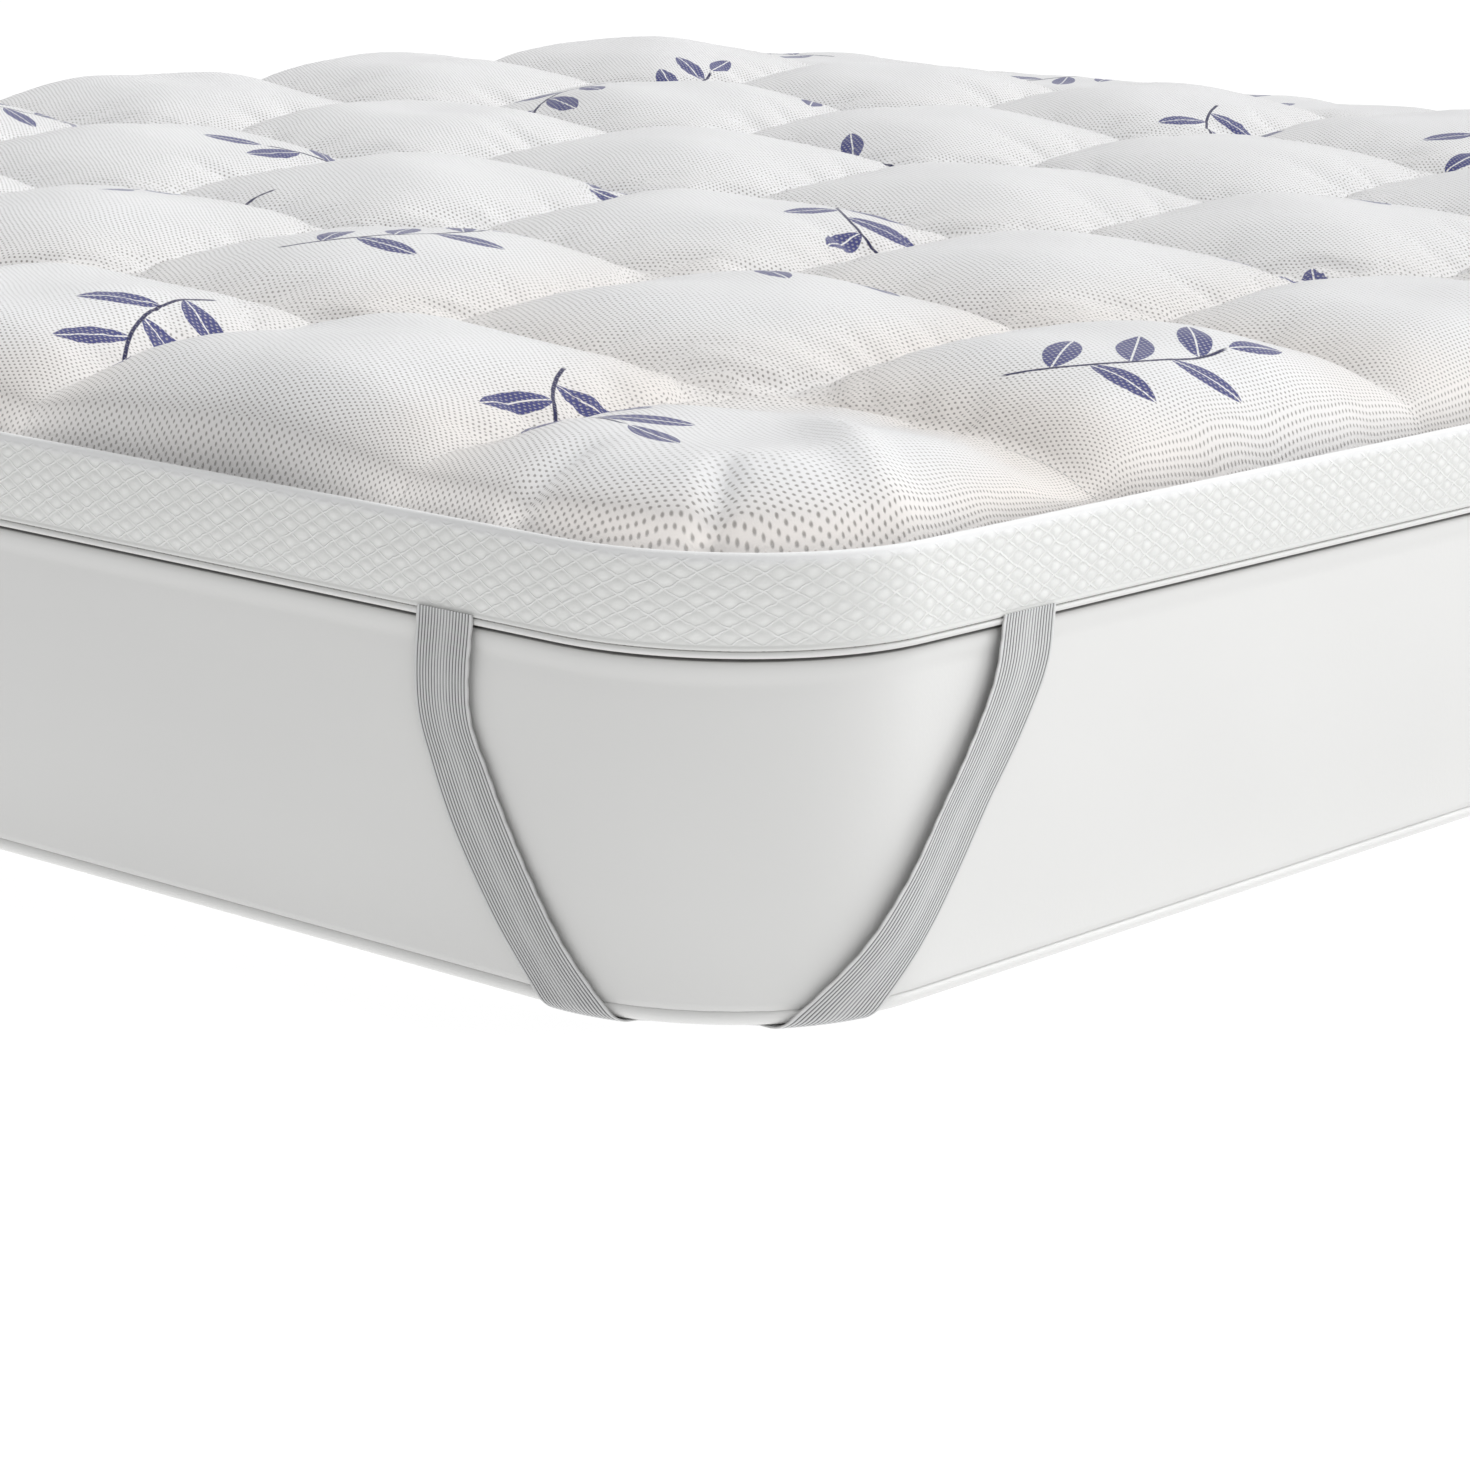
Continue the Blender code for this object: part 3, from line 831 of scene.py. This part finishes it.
def pad_surface():
    """The cover before it is puffed: points, held points and hollow shares."""
    half_x = BED_WIDTH / 2 - PAD_INSET
    half_y = BED_LENGTH / 2 - PAD_INSET
    radius = CORNER_RADIUS - PAD_INSET
    across, along = quilt_lines()
    from_side, cell_x, share_x, seam_x = (column[None, :] for column in across.T)
    from_foot, cell_y, share_y, seam_y = (column[:, None] for column in along.T)
    x = half_x * (1.0 - 2.0 * from_side / BED_WIDTH)
    y = half_y * (2.0 * from_foot / BED_LENGTH - 1.0)
    x, y = rounded_plan(x, y, half_x, half_y, radius)
    fullness = cell_fullness(int(cell_x.max()) + 1, int(cell_y.max()) + 1)
    full = fullness[cell_x.astype(int), cell_y.astype(int)]
    inner_x, inner_y = inner_share(share_x, cell_x), inner_share(share_y, cell_y)
    inside = np.maximum(0.0, edge_distance(x, y, half_x, half_y, radius))
    swell = crown(inner_x) * crown(inner_y) * rolled(inside, CROWN_ROLL)
    seam = CROSSING_HEIGHT + (SEAM_HEIGHT - CROSSING_HEIGHT) * np.maximum(
        1.0 - share_x ** 2, 1.0 - share_y ** 2)
    room = PUFF_TRAVEL
    lumps = LUMP_DEPTH * soft_waves(x, y, LUMP_LENGTH, QUILT_SEED)
    height = PAD_EDGE_HEIGHT + (seam - PAD_EDGE_HEIGHT) * rolled(inside, SEAM_ROLL)
    height += ((CROWN_HEIGHT - seam) * full + lumps - room) * swell
    points = np.stack([x, y, MATTRESS_TOP + height], axis=-1)
    held = (seam_x + seam_y > 0.0) | (inside < 0.1 * MM)
    return points, held, 1.0 - swell, inside


def flat_places(plan):
    """Places on the flat cover, which needs more cloth down the steep rim of the pad."""
    half = np.array((BED_WIDTH, BED_LENGTH)) / 2 - PAD_INSET
    inside = half - np.abs(plan)
    spare = RIM_FALL * np.exp(-inside / RIM_FALL_REACH)
    return np.copysign(np.abs(plan) + spare, plan)


def cover_faces(rows, columns):
    """Faces of the cover's grid, pointing up."""
    return [face[::-1] for face in quads(rows, columns)]


def calmed(travel, held, inside):
    """Even out the small wrinkles of the puffed cover near its rim."""
    even = travel.copy()
    for _ in range(CALM_TURNS):
        even[1:-1, 1:-1] = (even[:-2, 1:-1] + even[2:, 1:-1] + even[1:-1, :-2]
                            + even[1:-1, 2:] + 4.0 * even[1:-1, 1:-1]) / 8.0
        even[held] = 0.0
    share = np.clip(1.5 - inside / CALM_REACH, 0.0, 1.0)[..., None]
    return travel + share * (even - travel)


def puffed(points, held, inside):
    """Puff the cover with a cloth simulation, held along its seams and its rim."""
    rows, columns, _ = points.shape
    draw = np.random.default_rng(LINT_SEED)
    lint = LINT * draw.standard_normal((rows, columns)) * ~held
    start = points + lint[..., None] * np.array((0.0, 0.0, 1.0))
    sheet = add_piece("cover_in_the_making",
                      mesh_of("cover_in_the_making", start.reshape(-1, 3),
                              cover_faces(rows, columns)))
    group = sheet.vertex_groups.new(name="held")
    group.add(np.flatnonzero(held.ravel()).tolist(), 1.0, "REPLACE")
    cloth = sheet.modifiers.new("cloth", "CLOTH")
    cloth.settings.vertex_group_mass = group.name
    cloth.settings.bending_stiffness = PUFF_BENDING
    cloth.settings.shrink_min = -SPARE_CLOTH
    cloth.settings.use_pressure = True
    cloth.settings.uniform_pressure_force = PUFF_PRESSURE
    cloth.settings.effector_weights.gravity = 0.0
    cloth.collision_settings.use_collision = False
    cloth.point_cache.frame_end = PUFF_FRAMES
    scene = bpy.context.scene
    for number in range(1, PUFF_FRAMES + 1):
        scene.frame_set(number)
    settled = sheet.evaluated_get(bpy.context.evaluated_depsgraph_get())
    found = np.empty(rows * columns * 3, dtype=np.float32)
    settled.data.vertices.foreach_get("co", found)
    scene.frame_set(1)
    bpy.data.objects.remove(sheet)
    travel = calmed(found.reshape(rows, columns, 3) - points, held, inside)
    far = np.linalg.norm(travel, axis=-1, keepdims=True) + 1e-9
    return points + travel * (PUFF_TRAVEL * np.tanh(far / PUFF_TRAVEL) / far)


def folded(points, inside):
    """Add the soft folds near the shown corner."""
    from_side = BED_WIDTH / 2 - points[..., 0]
    from_foot = points[..., 1] + BED_LENGTH / 2
    result = points.copy()
    for side, foot, heading, length, width, rise in FOLDS:
        angle = math.radians(heading)
        out_x = side * MM - from_side
        out_y = from_foot - foot * MM
        run = (out_x * math.cos(angle) + out_y * math.sin(angle)) / (length * MM / 2)
        aside = (out_y * math.cos(angle) - out_x * math.sin(angle)) / (width * MM)
        fade = np.minimum(1.0, inside / FOLD_FADE)
        result[..., 2] += rise * MM * fade * np.exp(-aside ** 2 - run ** 4)
    return result


def make_pad(finish):
    """Closed filled pad: puffed cover, side wall and flat underside."""
    points, held, hollow, inside = pad_surface()
    cloth = flat_places(points[..., :2])
    points = puffed(points, held, inside)
    points = folded(points, inside)
    rows, columns, _ = points.shape
    index = np.arange(rows * columns).reshape(rows, columns)
    rim = np.concatenate([index[0, :-1], index[:-1, -1], index[-1, :0:-1], index[:0:-1, 0]])
    narrowing = 1.0 + (PAD_INSET - PAD_FOOT_INSET) / (BED_WIDTH / 2)
    flat = points.reshape(-1, 3)
    foot = flat[rim] * (narrowing, narrowing, 0.0) + (0.0, 0.0, MATTRESS_TOP + GAP)
    count = len(rim)
    first = len(flat)
    after = np.roll(np.arange(count), -1)
    wall = np.stack([rim, first + np.arange(count), first + after, rim[after]], axis=-1)
    faces = cover_faces(rows, columns) + wall.tolist()
    faces.append((first + np.arange(count)).tolist()[::-1])
    places = np.vstack([cloth.reshape(-1, 2), cloth.reshape(-1, 2)[rim]])
    mesh = mesh_of("quilted_cover", np.vstack([flat, foot]), faces, finish, places)
    # The hollow share sets the painted shade in the knit's valleys.
    shares = np.concatenate([hollow.ravel(), np.ones(count)]).astype(np.float32)
    mesh.attributes.new("hollow", "FLOAT", "POINT").data.foreach_set("value", shares)
    return add_piece("quilted_cover", mesh), points


def thread_tree():
    """Stitches laid along every seam line of the quilting."""
    tree = ShapeTree("quilting_stitches", {"Pitch": STITCH_PITCH, "Length": STITCH_LENGTH,
                                           "Thickness": STITCH_THICKNESS})
    lines = tree.node("GeometryNodeMeshToCurve", {}, {"Mesh": tree.given("Geometry")})
    made = tree.node("GeometryNodeCurveToPoints", {"mode": "LENGTH"},
                     {"Curve": lines, "Length": tree.given("Pitch")}).socket.node
    spots, turns = Value(tree, made.outputs["Points"]), Value(tree, made.outputs["Rotation"])
    bead = tree.node("GeometryNodeMeshIcoSphere", {}, {"Radius": 0.5, "Subdivisions": 1})
    stitch = tree.vector(tree.given("Thickness"), tree.given("Thickness"),
                         tree.given("Length"))
    tree.end(tree.node("GeometryNodeInstanceOnPoints", {},
                       {"Points": spots, "Instance": bead, "Rotation": turns, "Scale": stitch}))
    return tree


def make_thread(points, finish):
    """Quilting thread in the bottom of the channels."""
    across, along = quilt_lines()
    runs = [points[:, column] for column in np.flatnonzero(across[:, 3])[1:-1]]
    runs += [points[row] for row in np.flatnonzero(along[:, 3])[1:-1]]
    verts, edges = [], []
    for run in runs:
        edges += [(len(verts) + i, len(verts) + i + 1) for i in range(len(run) - 1)]
        verts += (run + (0.0, 0.0, STITCH_LIFT)).tolist()
    mesh = bpy.data.meshes.new("seam_lines")
    mesh.from_pydata(verts, edges, [])
    return thread_tree().grow("quilting_thread", add_piece("seam_lines", mesh), finish)


# ---- band, piping, mattress ----

def net_puffs(along, height):
    """Rise of the band's net over its cloth, 0 to 1: a low puff inside each diamond."""
    up = (height - BAND_FOOT) / (2.0 * CELL_RISE)
    first = np.mod(along / cell_pitch() + up + 0.5, 1.0) - 0.5
    second = np.mod(along / cell_pitch() - up + 0.5, 1.0) - 0.5
    far = np.hypot((first + second) / PUFF_WIDTH, (first - second) / PUFF_HEIGHT)
    puff = 0.5 + 0.5 * np.cos(np.pi * np.clip(far, 0.0, 1.0))
    ends = np.minimum(height - BAND_FOOT, BAND_HEAD - height) / PUFF_FADE
    return puff * np.clip(ends, 0.0, 1.0)


def make_band(finish):
    """Spacer-cloth band: puffed net, rolled upper hem and folded lower edge."""
    table = np.array(BAND_SECTION) * MM
    face = table[BELOW_FACE:ABOVE_FACE + 1]
    heights = np.arange(BAND_FOOT, BAND_HEAD, CELL_RISE / STEPS_UP_CELL)
    insets = np.interp(heights, face[:, 1], face[:, 0])
    section = np.vstack([table[:BELOW_FACE + 1], np.stack([insets, heights], axis=-1),
                         table[ABOVE_FACE:]])
    rows = len(section)
    count = CELLS_ROUND * STEPS_ALONG_CELL
    far = round_places(count)
    raised = np.zeros((rows, count))
    raised[BELOW_FACE + 1:][:len(heights)] = PUFF_RISE * net_puffs(far, heights[:, None])
    inset, height = section[:, :1], section[:, 1:]
    points = wrapped(far, inset - raised, MATTRESS_TOP + height)
    cloth = np.stack(np.broadcast_arrays(far, height), axis=-1)
    mesh = mesh_of("border_band_cloth", points.reshape(-1, 3),
                   quads(rows, count, closed=True, hooped=True), finish,
                   cloth.reshape(-1, 2), full_turn=bed_round())
    return add_piece("border_band_cloth", mesh)


def roll_tree(radius):
    """Round roll along the holder's edges."""
    tree = ShapeTree("edge_roll", {"Radius": radius, "Sides": ROLL_SIDES})
    path = tree.node("GeometryNodeMeshToCurve", {}, {"Mesh": tree.given("Geometry")})
    round_section = tree.node("GeometryNodeCurvePrimitiveCircle", {"mode": "RADIUS"},
                              {"Resolution": tree.given("Sides"),
                               "Radius": tree.given("Radius")})
    tree.end(tree.node("GeometryNodeCurveToMesh", {},
                       {"Curve": path, "Profile Curve": round_section}))
    return tree


def make_roll(name, roll, foot, finish):
    """Piping or tape: one roll right round the bed."""
    inset, height, radius = (size * MM for size in roll)
    count = round(bed_round() / ROLL_STEP)
    mesh = bpy.data.meshes.new(name + "_path")
    mesh.from_pydata(wrapped(round_places(count), inset, foot + height).tolist(),
                     [(i, (i + 1) % count) for i in range(count)], [])
    return roll_tree(radius).grow(name, add_piece(name + "_path", mesh), finish)


def make_mattress(finish):
    """Plain mattress with soft sides, shallow dents in the ticking and a flat underside."""
    side = np.array(MATTRESS_SIDE) * MM
    fine = [side[0]]
    for start, end in zip(side, side[1:]):
        steps = max(1, round(np.linalg.norm(end - start) / MATTRESS_STEP))
        fine += [start + (end - start) * step / steps for step in range(1, steps + 1)]
    fine = np.array(fine)
    soft = fine.copy()
    free = (fine[:, 1] > SIDE_FOOT) & (fine[:, 1] < SIDE_HEAD)
    for _ in range(SIDE_EVENING_TURNS):
        blurred = soft.copy()
        blurred[1:-1] = (soft[:-2] + 2 * soft[1:-1] + soft[2:]) / 4
        soft[free] = blurred[free]
    count = round(bed_round() / ROUND_STEP)
    far = round_places(count)
    inset, height = soft[:, :1], soft[:, 1:]
    middle = np.sin(np.pi * np.clip((height - DENT_FOOT) / DENT_HEIGHT, 0.0, 1.0))
    dents = 0.5 + 0.5 * soft_waves(far * DENTS_ROUND, height * DENTS_UP, DENT_LENGTH,
                                   LINT_SEED)
    points = wrapped(far, inset + TICKING_DENT * middle * np.clip(dents, 0.0, 1.0), height)
    mesh = mesh_of("mattress_body", points.reshape(-1, 3), tube_faces(len(soft), count),
                   finish)
    mesh.set_sharp_from_angle(angle=math.radians(MATTRESS_SHARP))
    return add_piece("mattress_body", mesh)


# ---- corner straps ----

def strap_side_curve():
    """Fine polyline of (inset, height) down the side, round the edge and underneath."""
    curve = smooth_curve(np.array(STRAP_SIDE) * MM, SIDE_CURVE_STEPS)
    centre = curve[-1] * (1.0, 0.0) + (STRAP_WRAP_RADIUS, STRAP_UNDER_HEIGHT
                                       + STRAP_WRAP_RADIUS)
    angle = np.radians(90.0 * np.arange(EDGE_TURN_STEPS + 1) / EDGE_TURN_STEPS)
    turn = centre - STRAP_WRAP_RADIUS * np.stack([np.cos(angle), np.sin(angle)], axis=-1)
    return np.vstack([curve, turn, [(CORNER_RADIUS, STRAP_UNDER_HEIGHT)]])


def arm_rows(arm):
    """Rows of one arm, top to bottom: middles, half widths, place and facing of the side."""
    table = smooth_curve(np.array(arm) * MM, ARM_CURVE_STEPS)
    side = strap_side_curve()
    far = lengths_along(side)
    down = np.linspace(0.0, table[-1, 0], round(table[-1, 0] / STRAP_STEP) + 1)
    way = np.interp(down, table[:, 0], table[:, 1])
    half = np.interp(down, table[:, 0], table[:, 2]) / 2
    place = np.stack([np.interp(down, far, side[:, axis]) for axis in (0, 1)], axis=-1)
    ahead = np.stack([np.interp(down + GAP, far, side[:, axis])
                      - np.interp(down - GAP, far, side[:, axis]) for axis in (0, 1)],
                     axis=-1)
    ahead[0] = ahead[1]
    ahead /= np.linalg.norm(ahead, axis=1, keepdims=True)
    facing = np.stack([ahead[:, 1], -ahead[:, 0]], axis=-1)
    return down, way, half, place, facing


def arm_faces(arm, across, ribs, edge_lift):
    """Outer and inner points of one arm, row by row from the top."""
    down, way, half, place, facing = arm_rows(arm)
    picot = PICOT_REACH * np.abs(np.sin(np.pi * down / PICOT_LENGTH))[:, None]
    reach = half[:, None] * across + picot * np.sign(across) * (np.abs(across) > PICOT_PLACE)
    inward = (1.0 - across * np.sign(way[:, None])) / 2
    run = np.sin(np.pi * np.clip(down / down[-1], 0.0, 1.0))[:, None]
    stand = run * (edge_lift * inward ** EDGE_BEND_POWER
                   - EDGE_PRESS * (1.0 - inward) ** EDGE_BEND_POWER)
    sides = []
    for lift in (0.5 * STRAP_THICKNESS + ribs, -0.5 * STRAP_THICKNESS):
        layer = place[:, None, :] + (stand + lift)[..., None] * facing[:, None, :]
        sides.append(wrapped(way[:, None] + reach, layer[..., 0], layer[..., 1]))
    return sides


def make_strap(name, mirror_x, mirror_y, finish):
    """Ribbed elastic: down one face, under the corner and up the other face."""
    columns = STRAP_RIBS * RIB_POINTS + 1
    across = np.linspace(-1.0, 1.0, columns)
    ribs = RIB_HEIGHT * (np.abs(np.sin(np.pi * STRAP_RIBS * (across + 1.0) / 2.0)) - 1.0)
    outer_share = np.clip((np.abs(across) - 0.2) / 0.4, 0.0, 1.0)
    ribs *= MIDDLE_RIB_SHARE + (1.0 - MIDDLE_RIB_SHARE) * outer_share
    falling = arm_faces(FOOT_ARM, across, ribs, FOOT_EDGE_LIFT)
    rising = [side[::-1, ::-1]
              for side in arm_faces(SIDE_ARM, across, ribs[::-1], SIDE_EDGE_LIFT)]
    share = np.linspace(0.0, 1.0, STRAP_UNDER_STEPS + 1)[1:-1, None, None]
    layers = []
    for down_side, up_side in zip(falling, rising):
        under = down_side[-1] + share * (up_side[0] - down_side[-1])
        layers.append(np.concatenate([down_side, under, up_side]))
    outer, inner = layers
    rows = len(outer)
    loops = np.concatenate([outer, inner[:, ::-1]], axis=1) * (mirror_x, mirror_y, 1.0)
    faces = tube_faces(rows, 2 * columns)
    if mirror_x * mirror_y > 0:
        faces = [face[::-1] for face in faces]
    run = lengths_along(outer[:, columns // 2])
    shares = np.concatenate([(across + 1) / 2, (across[::-1] + 1) / 2])
    cloth = np.stack(np.broadcast_arrays(run[:, None], shares), axis=-1)
    mesh = mesh_of(name, loops.reshape(-1, 3), faces, finish, cloth.reshape(-1, 2))
    mesh.set_sharp_from_angle(angle=math.radians(STRAP_SHARP))
    return add_piece(name, mesh), float(run[-1])


# ---- studio ----

def make_studio():
    """Plain floor, soft lamps, a pale sky and the camera."""
    half = FLOOR_SIZE / 2
    floor = add_piece("studio_floor", mesh_of(
        "studio_floor", [(-half, -half, 0), (half, -half, 0), (half, half, 0),
                         (-half, half, 0)], [(0, 1, 2, 3)], floor_finish(), smooth=False))
    for name, (direction, strength, spread) in LAMPS.items():
        light = bpy.data.lights.new(name, "SUN")
        light.energy = strength
        light.angle = math.radians(spread)
        lamp = add_piece(name, light)
        lamp.location = direction
        lamp.rotation_euler = Vector(direction).to_track_quat("Z", "Y").to_euler()
    sky = bpy.data.worlds.new("studio_sky")
    sky.use_nodes = True
    graph = Graph(sky.node_tree)
    seen = graph.node("ShaderNodeLightPath", {}, {})
    strength = seen * (BACKDROP_STRENGTH - SKY_STRENGTH) + SKY_STRENGTH
    background = sky.node_tree.nodes["Background"]
    background.inputs["Color"].default_value = (1.0, 1.0, 1.0, 1.0)
    sky.node_tree.links.new(strength.socket, background.inputs["Strength"])
    bpy.context.scene.world = sky
    bpy.context.scene.view_settings.view_transform = "Standard"
    lens = bpy.data.cameras.new("camera")
    lens.lens = CAMERA_LENS
    lens.sensor_width = SENSOR_WIDTH
    camera = add_piece("camera", lens)
    camera.location = CAMERA_PLACE
    camera.rotation_euler = [math.radians(angle) for angle in CAMERA_TURN]
    bpy.context.scene.camera = camera


def fitted(piece, node=None):
    """Put a piece on the one body and hide the CAD node it stands for."""
    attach(piece, "root")
    if node:
        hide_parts(node)
    return piece


def main():
    make_studio()
    knit = knit_finish()
    band_cloth = band_finish()
    piping_cloth = fine_cloth_finish("smooth_piping", (0.81, 0.81, 0.80),
                                     (0.77, 0.77, 0.76), 0.6, 0.9 * MM)
    tape_cloth = fine_cloth_finish("rolled_tape", (0.84, 0.84, 0.83), (0.80, 0.80, 0.79),
                                   0.5, 1.1 * MM)
    # The ticking gets painted shade in the crevice under the piping, 1.9 mm below its top.
    ticking = fine_cloth_finish("satin_ticking", (0.79, 0.79, 0.777), (0.77, 0.77, 0.76),
                                0.45, 0.8 * MM, MATTRESS_TOP - 1.9 * MM,
                                Sheen_Weight=0.15)
    thread = fine_cloth_finish("quilting_thread", (0.86, 0.86, 0.85), (0.80, 0.80, 0.79),
                               0.6, 0.5 * MM)

    pad, cover = make_pad(knit)
    fitted(pad, "quilted_pad")
    fitted(make_thread(cover, thread))

    band = fitted(make_band(band_cloth), "border_band")
    piping = make_roll("band_piping", PIPING_ROLL, MATTRESS_TOP, piping_cloth)
    fitted(piping, "lower_piping")

    mattress = fitted(make_mattress(ticking), "mattress")
    tape = make_roll("mattress_edge_tape", TAPE_ROLL, 0.0, tape_cloth)
    fitted(tape, "mattress_tape")

    elastic = elastic_finish()
    for node, mirror_x, mirror_y in (("strap_foot_right", 1, 1), ("strap_head_right", 1, -1),
                                     ("strap_foot_left", -1, 1), ("strap_head_left", -1, -1)):
        strap, length = make_strap(node + "_elastic", mirror_x, mirror_y, elastic)
        fitted(strap, node)


main()
